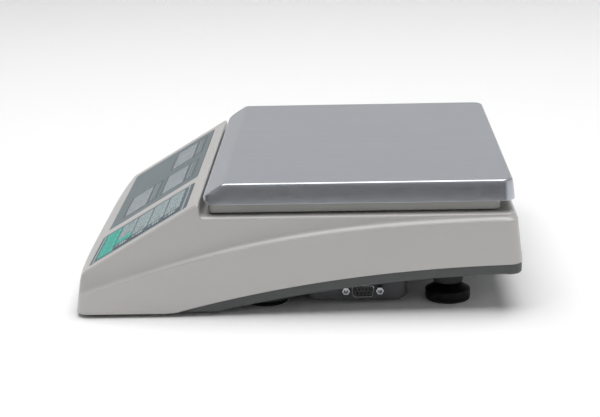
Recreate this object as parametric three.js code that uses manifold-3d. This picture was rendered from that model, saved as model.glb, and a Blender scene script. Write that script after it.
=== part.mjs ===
// Counting scale: a plastic housing with a sloping control panel, a folded steel pan on a single
// load cell, a base tray with a battery and port compartment, and four levelling feet.
// Millimetres, +Z up. +X is the operator's right and the operator stands at -Y. The origin is
// under the middle of the scale, on the surface that the feet stand on.
import * as THREE from "three";
import { mergeVertices } from "three/addons/utils/BufferGeometryUtils.js";
import Module from "manifold-3d";

const wasm = await Module();
wasm.setup();

// ---- driving dimensions ---------------------------------------------------------------------

const GAP = 0.3;
const CURVE_STEPS = 9;
const CORNER_STEPS = 4;
const ROUND_SIDES = 20;

// Upper housing: side walls, deck, and the ridge between the panel and the pan.
const WALL = 2.5;
const PANEL_WALL = 4;
const HALF_LOWER = 157;
const HALF_UPPER = 152;
const FRONT_CORNER_Y = -160;
const FRONT_BOW = 7.4;
const REAR_Y = 163.7;
const DECK_Z = 73.5;
const RIDGE_Y = -69.8;
const RIDGE_Z = 83;
const PLAN_RADIUS = 10;
const SKIRT_Z = 2.5;
const DECK_REAR = [157, DECK_Z];
const REAR_CREASE = [160, 70];
const REAR_LEAN = 3.5 / 31.5;
const PANEL_FRONT = [-164.8, 28.16];
const PANEL_SLOPE = 0.5944;
const CREASE = new THREE.CubicBezierCurve(
  new THREE.Vector2(-172, 15), new THREE.Vector2(-60, 49.5),
  new THREE.Vector2(-5, 68.5), new THREE.Vector2(172, 69.2));
const ARCH = new THREE.QuadraticBezierCurve(
  new THREE.Vector2(-91.2, SKIRT_Z), new THREE.Vector2(31, 35.4), new THREE.Vector2(172, 36.5));

// Base tray and the compartment that hangs from it.
const BASE_INSET = 3.6;
const BASE_LIP = 7;
const BASE_Z = 2;
const BASE_BELLY = new THREE.QuadraticBezierCurve(
  new THREE.Vector2(-60, BASE_Z), new THREE.Vector2(56, 27.5), new THREE.Vector2(172, 28.2));
const BAY = { x0: 14, x1: 131, y0: 6, y1: 81, z0: 3.1, radius: 7 };
const WELL = { x0: 20.2, x1: 113.4, y0: 8.6, y1: 78.4, top: 54.6, wall: 1.6 };
const COVER = { x1: 112, y0: 12.5, y1: 74.5, tongue: 1.6, z0: 3.1, step: 4.6, top: 5.3 };

// Feet.
const FOOT_X = 118;
const FOOT_FRONT_Y = -24.5;
const FOOT_REAR_Y = 111.4;
const DISC_RADIUS = 16.7;
const STUD_RADIUS = 4;
const STUD_TOP = 34;
const STUD_HOLE = 4.3;

// Load path.
const CELL = { half: 15, y0: -20, y1: 110, z0: 39, z1: 61 };
const PLATE = { half: 100, y0: -34, y1: 128, z0: 32, z1: 35 };
const HUB = { half: 16, y0: -24, y1: 8, margin: 4 };

// Pan and carrier.
const PAN = { half: 147, flare: 1.6, front: -67.3, rear: 157, top: 97.1, skirt: 81.8, sheet: 1.1 };
const PAN_SLOPE = [[-67.3, 87.7], [-52, 97.1]];
const PAN_RADIUS = 9;
const CARRIER = { half: 143, y0: -64, y1: 148, z0: 74.5, z1: 94, wall: 2.5, radius: 5,
  slope: [[-64, 85.1], [-49, 94]] };
const PAD = { radius: 9, places: [[110, -30], [110, 118]] };
const LEVEL = { x: 75, y: 124, hole: 8.4, viewing: 13 };

// Control panel, in its own plane: x across, s up the slope, n out of the surface.
const PANEL_ORIGIN = [-157, 32.8];
const WINDOW = { x0: -138, x1: 45.5, s0: 6, s1: 89.5, radius: 3 };
const KEYPAD = { x0: 62, x1: 141, s0: 4, s1: 89.5, radius: 3 };
const WINDOW_RECESS = 1.5;
const KEYPAD_RECESS = 2.3;
const LCDS = {
  lcd_weight: { x0: -122, x1: -59, s0: 53, s1: 74 },
  lcd_unit_weight: { x0: -35, x1: 28, s0: 53, s1: 74 },
  lcd_count: { x0: -36, x1: 28, s0: 18, s1: 39 },
};
const LCD_DEPTH = 6;
const KEY = { rows: 5, columns: 5, x0: 68.6, s0: 9.4, pitchX: 13.2, pitchS: 14.5,
  wide: 12.2, high: 13.2 };

// Rear fittings and serial port.
const REAR_FITTING_Z = 56;
const JACK_X = -112;
const SWITCH_X = -84;
const ROCKER_PIVOT = -3.2;
const ROCKER_TILT = 8;
const PORT = { y: 47.9, z: 11.9, screwSpacing: 25, flange: 15.4, flangeHigh: 6.2 };

// ---- materials ------------------------------------------------------------------------------

function material(color, roughness, metalness = 0) {
  return new THREE.MeshStandardMaterial({ color, roughness, metalness });
}

const LIGHT_PLASTIC = material(0xc4c4c0, 0.55);
const DARK_PLASTIC = material(0x4e5050, 0.6);
const BLACK_PLASTIC = material(0x0c0c0c, 0.45);
const CARRIER_PLASTIC = material(0x6e6e6b, 0.6);
const STEEL = material(0xb4b7bd, 0.35, 1);
const ZINC_STEEL = material(0xa8abb0, 0.4, 1);
const ALUMINIUM = material(0xc2c4c6, 0.45, 1);
const RUBBER = material(0x101010, 0.9);
const SMOKED = material(0x7d8a8e, 0.2);
const LCD_GLASS = material(0x9ba5ac, 0.15);
const BOARD = material(0x1f5a36, 0.6);
const KEY_GREY = material(0xa5b2b6, 0.5);
const KEY_GREEN = material(0x4bbeaa, 0.5);
const KEY_DARK = material(0x59646b, 0.5);
const VIAL = material(0xb7d94c, 0.1);

// ---- solids ---------------------------------------------------------------------------------

function solid(geometry) {
  geometry.deleteAttribute("normal");
  geometry.deleteAttribute("uv");
  const merged = mergeVertices(geometry, 1e-3);
  const index = Array.from(merged.index.array);
  const triVerts = [];
  for (let i = 0; i < index.length; i += 3) {
    const [a, b, c] = index.slice(i, i + 3);
    if (a !== b && b !== c && c !== a) triVerts.push(a, b, c);
  }
  return new wasm.Manifold(new wasm.Mesh({
    numProp: 3,
    vertProperties: new Float32Array(merged.attributes.position.array),
    triVerts: new Uint32Array(triVerts),
  }));
}

function geometryOf(body) {
  const mesh = body.getMesh();
  const geometry = new THREE.BufferGeometry();
  geometry.setAttribute("position", new THREE.BufferAttribute(mesh.vertProperties, 3));
  geometry.setIndex(new THREE.BufferAttribute(mesh.triVerts, 1));
  geometry.computeVertexNormals();
  return geometry;
}

function joined(bodies) {
  return bodies.reduce((all, body) => all.add(body));
}

function without(body, cutters) {
  return cutters.reduce((rest, cutter) => rest.subtract(cutter), body);
}

function box(x0, x1, y0, y1, z0, z1) {
  const geometry = new THREE.BoxGeometry(x1 - x0, y1 - y0, z1 - z0);
  return solid(geometry.translate((x0 + x1) / 2, (y0 + y1) / 2, (z0 + z1) / 2));
}

function extruded(shape, depth) {
  return new THREE.ExtrudeGeometry(shape, { depth, bevelEnabled: false, curveSegments: CORNER_STEPS });
}

// A (y, z) outline carried along X.
function prismX(shape, x0, x1) {
  const basis = new THREE.Matrix4().makeBasis(
    new THREE.Vector3(0, 1, 0), new THREE.Vector3(0, 0, 1), new THREE.Vector3(1, 0, 0));
  return solid(extruded(shape, x1 - x0).applyMatrix4(basis).translate(x0, 0, 0));
}

// An (x, y) outline carried along Z.
function prismZ(shape, z0, z1) {
  return solid(extruded(shape, z1 - z0).translate(0, 0, z0));
}

function cylinder(radius, x, y, z0, z1, sides = ROUND_SIDES) {
  const geometry = new THREE.CylinderGeometry(radius, radius, z1 - z0, sides);
  return solid(geometry.rotateX(Math.PI / 2).translate(x, y, (z0 + z1) / 2));
}

// A round bar along X, on the axis.
function roundX(radius, x0, x1, sides) {
  const geometry = new THREE.CylinderGeometry(radius, radius, x1 - x0, sides);
  return solid(geometry.rotateZ(Math.PI / 2).translate((x0 + x1) / 2, 0, 0));
}

// A profile of (radius, z) points, from the axis back to the axis, turned about Z.
function turned(profile, sides = ROUND_SIDES) {
  const points = profile.map(([radius, z]) => new THREE.Vector2(radius, z));
  return solid(new THREE.LatheGeometry(points, sides).rotateX(Math.PI / 2));
}

// ---- outlines -------------------------------------------------------------------------------

function polygon(points) {
  return new THREE.Shape(points.map(([a, b]) => new THREE.Vector2(a, b)));
}

function roundedRect(x0, x1, y0, y1, radius) {
  const shape = new THREE.Shape();
  shape.absarc(x1 - radius, y0 + radius, radius, -Math.PI / 2, 0);
  shape.absarc(x1 - radius, y1 - radius, radius, 0, Math.PI / 2);
  shape.absarc(x0 + radius, y1 - radius, radius, Math.PI / 2, Math.PI);
  shape.absarc(x0 + radius, y0 + radius, radius, Math.PI, 1.5 * Math.PI);
  return shape;
}

function curvePoints(curve, steps = CURVE_STEPS) {
  return curve.getPoints(steps).map((point) => [point.x, point.y]);
}

function raised(points, dz) {
  return points.map(([y, z]) => [y, z + dz]);
}

// Moves every edge of an anticlockwise outline inwards by its own distance.
function insetOutline(points, distances) {
  const lines = points.map(([ax, ay], i) => {
    const [bx, by] = points[(i + 1) % points.length];
    const length = Math.hypot(bx - ax, by - ay);
    const normal = [-(by - ay) / length, (bx - ax) / length];
    return { normal, offset: ax * normal[0] + ay * normal[1] + distances[i] };
  });
  return lines.map((line, i) => {
    const before = lines[(i + lines.length - 1) % lines.length];
    const det = before.normal[0] * line.normal[1] - before.normal[1] * line.normal[0];
    return [
      (before.offset * line.normal[1] - line.offset * before.normal[1]) / det,
      (before.normal[0] * line.offset - line.normal[0] * before.offset) / det,
    ];
  });
}

// ---- assembly -------------------------------------------------------------------------------

const scale = new THREE.Group();

function add(name, body, finish, parent = scale) {
  const mesh = new THREE.Mesh(geometryOf(body), finish);
  mesh.name = name;
  parent.add(mesh);
  return mesh;
}

const panel = new THREE.Group();
panel.position.set(0, ...PANEL_ORIGIN);
panel.rotation.x = Math.atan(PANEL_SLOPE);
panel.updateMatrix();
scale.add(panel);

const REAR_TILT = Math.atan(REAR_LEAN);
const REAR_FITTING_Y = REAR_CREASE[0] + (REAR_CREASE[1] - REAR_FITTING_Z) * REAR_LEAN;

function rearGroup(x) {
  const group = new THREE.Group();
  group.position.set(x, REAR_FITTING_Y, REAR_FITTING_Z);
  group.rotation.x = REAR_TILT;
  group.updateMatrix();
  scale.add(group);
  return group;
}

const jackGroup = rearGroup(JACK_X);
const switchGroup = rearGroup(SWITCH_X);

function placed(body, group) {
  return body.transform(group.matrix.elements);
}

// ---- upper housing --------------------------------------------------------------------------

function planOutline(half, inset) {
  const x = half - inset;
  const radius = PLAN_RADIUS - inset;
  const front = FRONT_CORNER_Y + inset;
  const rear = REAR_Y - inset;
  const shape = new THREE.Shape();
  shape.moveTo(-x + radius, front);
  shape.quadraticCurveTo(0, front - 2 * FRONT_BOW, x - radius, front);
  shape.absarc(x - radius, front + radius, radius, -Math.PI / 2, 0);
  shape.absarc(x - radius, rear - radius, radius, 0, Math.PI / 2);
  shape.absarc(-x + radius, rear - radius, radius, Math.PI / 2, Math.PI);
  shape.absarc(-x + radius, front + radius, radius, Math.PI, 1.5 * Math.PI);
  return shape;
}

function housingOutline() {
  const bottomRear = REAR_CREASE[0] + (REAR_CREASE[1] - SKIRT_Z) * REAR_LEAN;
  const ridge = PANEL_FRONT[1] + (RIDGE_Y - PANEL_FRONT[0]) * PANEL_SLOPE;
  return [
    [FRONT_CORNER_Y - FRONT_BOW, SKIRT_Z], [bottomRear, SKIRT_Z], REAR_CREASE, DECK_REAR,
    [RIDGE_Y, DECK_Z], [RIDGE_Y, ridge], PANEL_FRONT,
  ];
}

// The housing as a full block: wide below the side crease, narrow above it.
function housingBlock(inset) {
  const bottom = inset > 0 ? -10 : 0;
  const panelInset = inset > 0 ? PANEL_WALL : 0;
  const edges = [bottom, inset, inset, inset, inset, panelInset, inset];
  const side = prismX(polygon(insetOutline(housingOutline(), edges)), -HALF_LOWER, HALF_LOWER);
  const underCrease = raised(curvePoints(CREASE), -inset).concat([[172, -20], [-172, -20]]);
  const lower = prismX(polygon(underCrease.reverse()), -HALF_LOWER, HALF_LOWER)
    .intersect(prismZ(planOutline(HALF_LOWER, inset), -20, RIDGE_Z));
  const upper = prismZ(planOutline(HALF_UPPER, inset), -20, RIDGE_Z - inset);
  return side.intersect(lower.add(upper));
}

const SCREW_BOSSES = [[135, -130, 14], [140, -2, 32], [135, 146, 40]];

function eachSide(places) {
  return places.flatMap(([x, ...rest]) => [[x, ...rest], [-x, ...rest]]);
}

function panelPocket(field, depth) {
  const outline = roundedRect(field.x0, field.x1, field.s0, field.s1, field.radius);
  return placed(prismZ(outline, -depth, 5), panel);
}

function lcdOpenings() {
  return Object.values(LCDS).map(({ x0, x1, s0, s1 }) =>
    placed(box(x0, x1, s0, s1, -2 * PANEL_WALL, 0), panel));
}

function upperHousing() {
  const underArch = curvePoints(ARCH).concat([[172, -20], [-172, -20], [-172, SKIRT_Z]]);
  const bosses = eachSide(SCREW_BOSSES).map(([x, y, z]) => cylinder(5, x, y, z + GAP, RIDGE_Z, 12));
  const shell = housingBlock(0).subtract(housingBlock(WALL))
    .add(joined(bosses).intersect(housingBlock(0)));
  return without(shell, [
    prismX(polygon(underArch.reverse()), -HALF_LOWER - 1, HALF_LOWER + 1),
    box(-HUB.half, HUB.half, HUB.y0, HUB.y1, DECK_Z - 6, DECK_Z + 6),
    cylinder(LEVEL.hole, LEVEL.x, LEVEL.y, DECK_Z - 6, DECK_Z + 6),
    panelPocket(WINDOW, WINDOW_RECESS),
    panelPocket(KEYPAD, KEYPAD_RECESS),
    ...lcdOpenings(),
    placed(turned([[0, -9], [5.1, -9], [5.1, 9], [0, 9]]).rotate([90, 0, 0]), jackGroup),
    placed(box(-6.7, 6.7, -9, 9, -9.7, 9.7), switchGroup),
  ]);
}

// ---- lower base -----------------------------------------------------------------------------

function bellyPoints() {
  return [[-172, BASE_Z], ...curvePoints(BASE_BELLY)];
}

function baseTray() {
  const lip = raised([[-172, SKIRT_Z], ...curvePoints(ARCH)], BASE_LIP);
  const outer = prismX(polygon(bellyPoints().concat(lip.reverse())), -HALF_LOWER, HALF_LOWER)
    .intersect(prismZ(planOutline(HALF_LOWER, BASE_INSET), -1, DECK_Z));
  const inside = raised(bellyPoints(), WALL).concat([[172, DECK_Z], [-172, DECK_Z]]);
  const inner = prismX(polygon(inside), -HALF_LOWER, HALF_LOWER)
    .intersect(prismZ(planOutline(HALF_LOWER, BASE_INSET + WALL), -1, DECK_Z));
  return outer.subtract(inner);
}

function bayBlock(inset, z0, z1) {
  const { x0, x1, y0, y1, radius } = BAY;
  return prismZ(roundedRect(x0 + inset, x1 - inset, y0 + inset, y1 - inset, radius - inset), z0, z1);
}

function batteryWell() {
  const { x0, x1, y0, y1, top, wall } = WELL;
  return box(x0 - wall, x1 + wall, y0 - wall, y1 + wall, BAY.z0 + 1, top + wall)
    .subtract(box(x0, x1, y0, y1, BAY.z0, top));
}

function coverSection(spread) {
  const { y0, y1, tongue, z0, step, top } = COVER;
  const rail = step - spread;
  const [a0, a1, b0, b1] = [y0 - spread, y1 + spread, y0 - tongue - spread, y1 + tongue + spread];
  const bottom = z0 - 3 * spread;
  const roof = top + spread;
  return polygon([[a0, bottom], [a1, bottom], [a1, rail], [b1, rail], [b1, roof],
    [b0, roof], [b0, rail], [a0, rail]]);
}

function footPlaces() {
  return {
    front_left: [-FOOT_X, FOOT_FRONT_Y], front_right: [FOOT_X, FOOT_FRONT_Y],
    rear_left: [-FOOT_X, FOOT_REAR_Y], rear_right: [FOOT_X, FOOT_REAR_Y],
  };
}

// The rear feet screw into tapered bosses, the front ones into bosses inside round pockets.
const REAR_BOSS = [[0, 13.5], [10.5, 13.5], [12.3, 15.3], [14.8, 28.5], [10.5, 31], [10.5, 36], [0, 36]];
const FRONT_BOSS = [[0, 5], [22, 5], [22, 17], [10.5, 17], [10.5, 36], [0, 36]];
const FRONT_POCKET = [[0, -1], [19.5, -1], [19.5, 13.5], [0, 13.5]];
const PLATE_POSTS = [[90, -26], [90, 120]];

function lowerBase() {
  const feet = Object.values(footPlaces());
  const isRear = ([, y]) => y > 0;
  const bosses = feet.map(([x, y]) =>
    turned(isRear([x, y]) ? REAR_BOSS : FRONT_BOSS).translate([x, y, 0]));
  const pockets = feet.filter((place) => !isRear(place))
    .map(([x, y]) => turned(FRONT_POCKET).translate([x, y, 0]));
  const insideTray = prismX(polygon(bellyPoints().concat([[172, DECK_Z], [-172, DECK_Z]])),
    -HALF_LOWER, HALF_LOWER);
  const posts = eachSide(SCREW_BOSSES).map(([x, y, z]) => cylinder(5.5, x, y, 1, z, 12))
    .concat(eachSide(PLATE_POSTS).map(([x, y]) => cylinder(5, x, y, 1, PLATE.z0 - GAP, 12)));
  const body = without(
    joined([baseTray(), joined(posts).intersect(insideTray), ...bosses, bayBlock(0, BAY.z0, 20)]),
    [bayBlock(WALL, BAY.z0 + WALL, DECK_Z), ...pockets]);
  return without(body.add(batteryWell()), [
    prismX(coverSection(GAP), BAY.x0 - 1, COVER.x1 + GAP),
    ...feet.map(([x, y]) => cylinder(STUD_HOLE, x, y, -1, STUD_TOP + 1)),
    box(BAY.x1 - 2 * WALL, BAY.x1 + 1, PORT.y - 8.6, PORT.y + 8.6, PORT.z - 4.6, PORT.z + 4.6),
  ]);
}

// ---- load path ------------------------------------------------------------------------------

// A bar with two round reliefs joined by a slot, which leave four thin bending sections.
function loadCell() {
  const { half, y0, y1, z0, z1 } = CELL;
  const bar = roundedRect(y0, y1, z0, z1, 1);
  const middle = (z0 + z1) / 2;
  const relief = new THREE.Path();
  relief.absarc(64, middle, 8.6, Math.PI + 0.4, 3 * Math.PI - 0.4, false);
  relief.absarc(26, middle, 8.6, 0.4, 2 * Math.PI - 0.4, false);
  bar.holes.push(new THREE.Path(relief.getPoints(CURVE_STEPS)));
  return prismX(bar, -half, half);
}

function chassisPlate() {
  const { half, y0, y1, z0, z1 } = PLATE;
  const outline = roundedRect(-half, half, y0, y1, 6);
  const notch = box(WELL.x0 - WELL.wall - 2, half + 1, WELL.y0 - 5, WELL.y1 + 5, z0 - 1, z1 + 1);
  const stopHole = cylinder(3.3, 0, CELL.y0 + STOP_SETBACK, z0 - 1, z1 + 1, 16);
  return without(prismZ(outline, z0, z1), [notch, stopHole]);
}

const STOP_SETBACK = 9;
const STOP_SCREW = [[0, 27], [3, 27], [3, 35.3], [5.5, 35.3], [5.5, 37], [3, 37], [3, 38.3],
  [0, 38.3]];

function addLoadPath() {
  const { half, y0, y1, z0, z1 } = CELL;
  const pad = half - 1;
  const hub = HUB.half - HUB.margin;
  const spacer = box(-pad, pad, y1 - 26, y1 - 1, PLATE.z1 + GAP, z0 - GAP);
  const adaptor = box(-hub, hub, y0, HUB.y1 - HUB.margin, z1 + GAP, CARRIER.z0 - GAP);
  add("load_cell", loadCell(), ALUMINIUM);
  add("load_cell_spacer", spacer, ZINC_STEEL);
  add("load_cell_adaptor", adaptor, ALUMINIUM);
  add("chassis_plate", chassisPlate(), ZINC_STEEL);
  add("overload_stop", turned(STOP_SCREW, 12).translate([0, y0 + STOP_SETBACK, 0]), ZINC_STEEL);
}

// ---- pan and carrier ------------------------------------------------------------------------

function panBlock(inset) {
  const { half, flare, front, rear, top, skirt } = PAN;
  const bottom = inset > 0 ? skirt - 2 : skirt;
  const side = [[front, skirt], [rear + 3, skirt], [rear + 3, top], PAN_SLOPE[1], PAN_SLOPE[0]];
  const edges = [bottom - skirt, 0, inset, inset, inset];
  const outline = roundedRect(
    -half + inset, half - inset, front + inset, rear - inset, PAN_RADIUS - inset);
  const plan = extruded(outline, top - bottom).translate(0, 0, bottom);
  const position = plan.attributes.position;
  for (let i = 0; i < position.count; i += 1) {
    const spread = flare * (top - position.getZ(i)) / (top - skirt);
    position.setX(i, position.getX(i) * (1 + spread / half));
    position.setY(i, front + (position.getY(i) - front) * (1 + spread / (rear - front)));
  }
  return prismX(polygon(insetOutline(side, edges)), -half - 5, half + 5).intersect(solid(plan));
}

function carrierBlock(inset) {
  const { half, y0, y1, z0, z1, slope, radius } = CARRIER;
  const side = [[y0, z0], [y1, z0], [y1, z1], slope[1], slope[0]];
  const bottom = inset > 0 ? -1 : 0;
  const outline = roundedRect(-half + inset, half - inset, y0 + inset, y1 - inset, radius - inset);
  return prismX(polygon(insetOutline(side, [bottom, 0, inset, inset, 0])), -half, half)
    .intersect(prismZ(outline, z0 - 2, z1));
}

function panCarrier() {
  const { half, y1, z0, z1, slope, wall } = CARRIER;
  const stiffening = [
    box(-HUB.half, HUB.half, HUB.y0, HUB.y1, z0, z1 - 1),
    box(-2, 2, slope[1][0] - wall, y1 - 1, z0 + 6, z1 - wall - 2),
    box(-half + 1, half - 1, -9, -5, z0 + 6, z1 - 1),
    box(-half + 1, half - 1, 88, 92, z0 + 6, z1 - 1),
    ...eachSide(PAD.places).map(([x, y]) =>
      cylinder(PAD.radius, x, y, z1 - 1, PAN.top - PAN.sheet - GAP, 16)),
  ];
  const tray = carrierBlock(0).subtract(carrierBlock(wall));
  const viewing = cylinder(LEVEL.viewing, LEVEL.x, LEVEL.y, z0, z1 + 5);
  return joined([tray, ...stiffening]).subtract(viewing);
}

// ---- control panel --------------------------------------------------------------------------

function sheet(field, margin, n0, n1) {
  const { x0, x1, s0, s1, radius } = field;
  return prismZ(roundedRect(x0 + margin, x1 - margin, s0 + margin, s1 - margin, radius), n0, n1);
}

function keyPlace(row, column) {
  const x = KEY.x0 + (column + 0.5) * KEY.pitchX;
  const s = KEY.s0 + (row + 0.5) * KEY.pitchS;
  return [x, s];
}

function keyFinish(row, column) {
  if (row === 0) return KEY_GREEN;
  if (column === KEY.columns - 1) return KEY_DARK;
  return row === 1 && column === 3 ? KEY_GREEN : KEY_GREY;
}

function keyBlock(margin, n0, n1) {
  const x = KEY.wide / 2 + margin;
  const s = KEY.high / 2 + margin;
  return prismZ(polygon([[-x, -s], [x, -s], [x, s], [-x, s]]), n0, n1);
}

function addControlPanel() {
  const windowBack = -1.2;
  add("display_window", sheet(WINDOW, GAP, windowBack, -0.15), SMOKED, panel);
  const front = windowBack - GAP;
  for (const [name, { x0, x1, s0, s1 }] of Object.entries(LCDS)) {
    const block = box(x0 + GAP, x1 - GAP, s0 + GAP, s1 - GAP, front - LCD_DEPTH, front);
    add(name, block, LCD_GLASS, panel);
  }
  add("display_board", box(-130, 38, 10, 84, -9.4, -7.8), BOARD, panel);
  add("keypad_circuit", sheet(KEYPAD, GAP, -2, -1.6), BOARD, panel);
  const openings = [];
  for (let row = 0; row < KEY.rows; row += 1) {
    for (let column = 0; column < KEY.columns; column += 1) {
      const place = [...keyPlace(row, column), 0];
      openings.push(keyBlock(GAP, -5, 5).translate(place));
      const name = `key_row${row + 1}_col${column + 1}`;
      add(name, keyBlock(0, -1, 0.1), keyFinish(row, column), panel).position.set(...place);
    }
  }
  add("keypad_overlay", without(sheet(KEYPAD, GAP, -1.3, -0.2), openings), KEY_DARK, panel);
}

// ---- battery, boards and fittings -----------------------------------------------------------

function addBattery() {
  add("battery", box(21, 112.6, 9, 78, 6, 52), DARK_PLASTIC);
  add("battery_cover", prismX(coverSection(0), BAY.x0 + 0.1, COVER.x1), DARK_PLASTIC);
}

function addSupplyJack() {
  const barrel = turned([[0, -14], [4.8, -14], [4.8, 0.3], [6.5, 0.3], [6.5, 1.8], [2.75, 1.8],
    [2.75, -8], [1, -8], [1, 0.5], [0, 0.5]]);
  add("supply_jack", barrel.rotate([-90, 0, 0]), BLACK_PLASTIC, jackGroup);
}

function rockerOutline() {
  const radius = 7.2;
  const [top, bottom] = [0.8, 2.27];
  const shape = new THREE.Shape();
  shape.absarc(0, 0, radius, top, bottom);
  shape.absarc(0, 0, radius, -bottom, -top);
  shape.lineTo(2.9, 0);
  return new THREE.Shape(shape.getPoints(CURVE_STEPS));
}

function addPowerSwitch() {
  const body = box(-6.4, 6.4, -16, 1, -9.4, 9.4).add(box(-7.8, 7.8, GAP, 2.2, -10.8, 10.8));
  const opened = body.subtract(box(-4.7, 4.7, -9.8, 5, -7.6, 7.6));
  add("power_switch_body", opened, BLACK_PLASTIC, switchGroup);
  const rocker = add("power_rocker", prismX(rockerOutline(), -4.3, 4.3), BLACK_PLASTIC, switchGroup);
  rocker.position.y = ROCKER_PIVOT;
  rocker.rotation.x = THREE.MathUtils.degToRad(-ROCKER_TILT);
}

// A D outline in (y, z), wide at the top.
function dOutline(halfWidth, halfHeight) {
  const lean = halfHeight * Math.tan(THREE.MathUtils.degToRad(10));
  const cut = 1.6;
  const [top, low] = [halfWidth, halfWidth - 2 * lean];
  return polygon([
    [-low + cut, -halfHeight], [low - cut, -halfHeight], [low, -halfHeight + cut],
    [top, halfHeight - cut], [top - cut, halfHeight], [-top + cut, halfHeight],
    [-top, halfHeight - cut], [-low, -halfHeight + cut],
  ].map(([y, z]) => [PORT.y + y, PORT.z + z]));
}

function addSerialPort() {
  const face = BAY.x1;
  const { y, z, flange, flangeHigh, screwSpacing } = PORT;
  const plate = roundedRect(y - flange, y + flange, z - flangeHigh, z + flangeHigh, 1.5);
  const screws = { front: y - screwSpacing / 2, rear: y + screwSpacing / 2 };
  const screwHoles = Object.values(screws)
    .map((at) => box(face - 1, face + 2, at - 1.8, at + 1.8, z - 1.8, z + 1.8));
  const shell = prismX(plate, face + GAP, face + 1.2)
    .add(prismX(dOutline(8.5, 4.4), face + 1, face + 6.8));
  const tube = prismX(dOutline(8.1, 4), face - 1, face + 8);
  add("serial_port_shell", without(shell, [tube, ...screwHoles]), STEEL);
  add("serial_port_insert", prismX(dOutline(7.8, 3.7), face - 8, face + 6.3), BLACK_PLASTIC);
  for (const [name, at] of Object.entries(screws)) {
    const head = roundX(2.9, face + 1.6, face + 6.4, 6);
    const shank = roundX(1.4, face + 0.4, face + 2.4, 12);
    add(`jack_screw_${name}`, head.add(shank).translate([0, at, z]), STEEL);
  }
}

function addSpiritLevel() {
  const vial = turned([[0, 65], [8, 65], [8, DECK_Z + GAP], [10, DECK_Z + GAP], [10, 75], [0, 75]]);
  add("spirit_level", vial.translate([LEVEL.x, LEVEL.y, 0]), VIAL);
}

// ---- feet -----------------------------------------------------------------------------------

const DISC = [[0, 2], [16.1, 2], [DISC_RADIUS, 2.6], [DISC_RADIUS, 7.2], [10, 12], [STUD_RADIUS, 12],
  [STUD_RADIUS, STUD_TOP], [0, STUD_TOP]];
const SOLE = [[0, 0], [14.6, 0], [15.6, 0.8], [15.6, 1.7], [0, 1.7]];

function addFeet() {
  for (const [name, [x, y]] of Object.entries(footPlaces())) {
    add(`foot_${name}`, turned(DISC), BLACK_PLASTIC).position.set(x, y, 0);
    add(`sole_${name}`, turned(SOLE), RUBBER).position.set(x, y, 0);
  }
}

// ---- the scale ------------------------------------------------------------------------------

add("upper_housing", upperHousing(), LIGHT_PLASTIC);
add("lower_base", lowerBase(), DARK_PLASTIC);
add("weighing_pan", panBlock(0).subtract(panBlock(PAN.sheet)), STEEL);
add("pan_carrier", panCarrier(), CARRIER_PLASTIC);
addLoadPath();
addControlPanel();
addBattery();
add("main_board", box(-96, -22, 4, 112, 42, 43.6), BOARD);
addSupplyJack();
addPowerSwitch();
addSerialPort();
addSpiritLevel();
addFeet();

export default scale;
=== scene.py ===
# Looks of the counting scale: visible pieces, finishes, stage and camera.
# Shapes are made in millimetres in the CAD's frame and scaled once, in make_mesh.
import math

import bmesh
import bpy
from mathutils import Matrix, Vector


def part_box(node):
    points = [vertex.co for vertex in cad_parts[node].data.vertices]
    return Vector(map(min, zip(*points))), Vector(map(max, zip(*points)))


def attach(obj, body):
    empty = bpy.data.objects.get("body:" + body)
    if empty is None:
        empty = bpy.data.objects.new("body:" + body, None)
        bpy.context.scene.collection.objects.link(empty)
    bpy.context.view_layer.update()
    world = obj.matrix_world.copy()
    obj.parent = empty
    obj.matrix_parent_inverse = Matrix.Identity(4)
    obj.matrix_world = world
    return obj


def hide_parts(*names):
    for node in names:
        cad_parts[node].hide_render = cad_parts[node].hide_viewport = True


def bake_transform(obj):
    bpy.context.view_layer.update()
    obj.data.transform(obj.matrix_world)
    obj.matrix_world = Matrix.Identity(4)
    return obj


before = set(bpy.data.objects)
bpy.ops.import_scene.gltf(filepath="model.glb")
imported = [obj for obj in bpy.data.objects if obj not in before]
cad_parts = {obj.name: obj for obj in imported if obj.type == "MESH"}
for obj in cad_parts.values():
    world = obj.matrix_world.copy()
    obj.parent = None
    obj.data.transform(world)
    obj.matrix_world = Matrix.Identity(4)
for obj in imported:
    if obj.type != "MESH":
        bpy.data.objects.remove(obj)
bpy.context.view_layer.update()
scene = bpy.context.scene
MM = 0.001
SHARP = 0.01  # the edge of a shape that only cuts

# ---- sizes ----

def extent(node):
    """A CAD node's box in millimetres: (x0, y0, z0), (x1, y1, z1)."""
    low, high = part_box(node)
    return low / MM, high / MM


HOUSING_LOW, HOUSING_HIGH = extent("upper_housing")
PAN_LOW, PAN_HIGH = extent("weighing_pan")
CARRIER_LOW, CARRIER_HIGH = extent("pan_carrier")
COVER_LOW, COVER_HIGH = extent("battery_cover")
FEET = {name: extent("foot_" + name)
        for name in ("front_left", "front_right", "rear_left", "rear_right")}
END = 172  # a y beyond both ends of the scale, where the curves along it start and stop

# Housing. Its side walls lean in above the crease. Its front wall bows out and leans back.
HALF_WIDTH = HOUSING_HIGH.x
PLAN_RADIUS = 10
LEAN, LEAN_HEIGHT = 5.3, 7
FRONT_Y = -162.6
FRONT_BOW = FRONT_Y - HOUSING_LOW.y
BOW_POWER = 4
FRONT_LEAN, FRONT_RADIUS = 4.2, 4.2
LEAN_FROM, LEAN_TO = 3, 30  # heights between which the front wall leans back
EDGE_RADIUS = 2.6
REAR_Y = 160
REAR_EDGE_Y, REAR_EDGE_Z = 157, 70  # its upper edge is cut back, from this z to this y
REAR_EDGE_INSET = 1.2
WALL = 2.5
DECK_Z = 73.5

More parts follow.
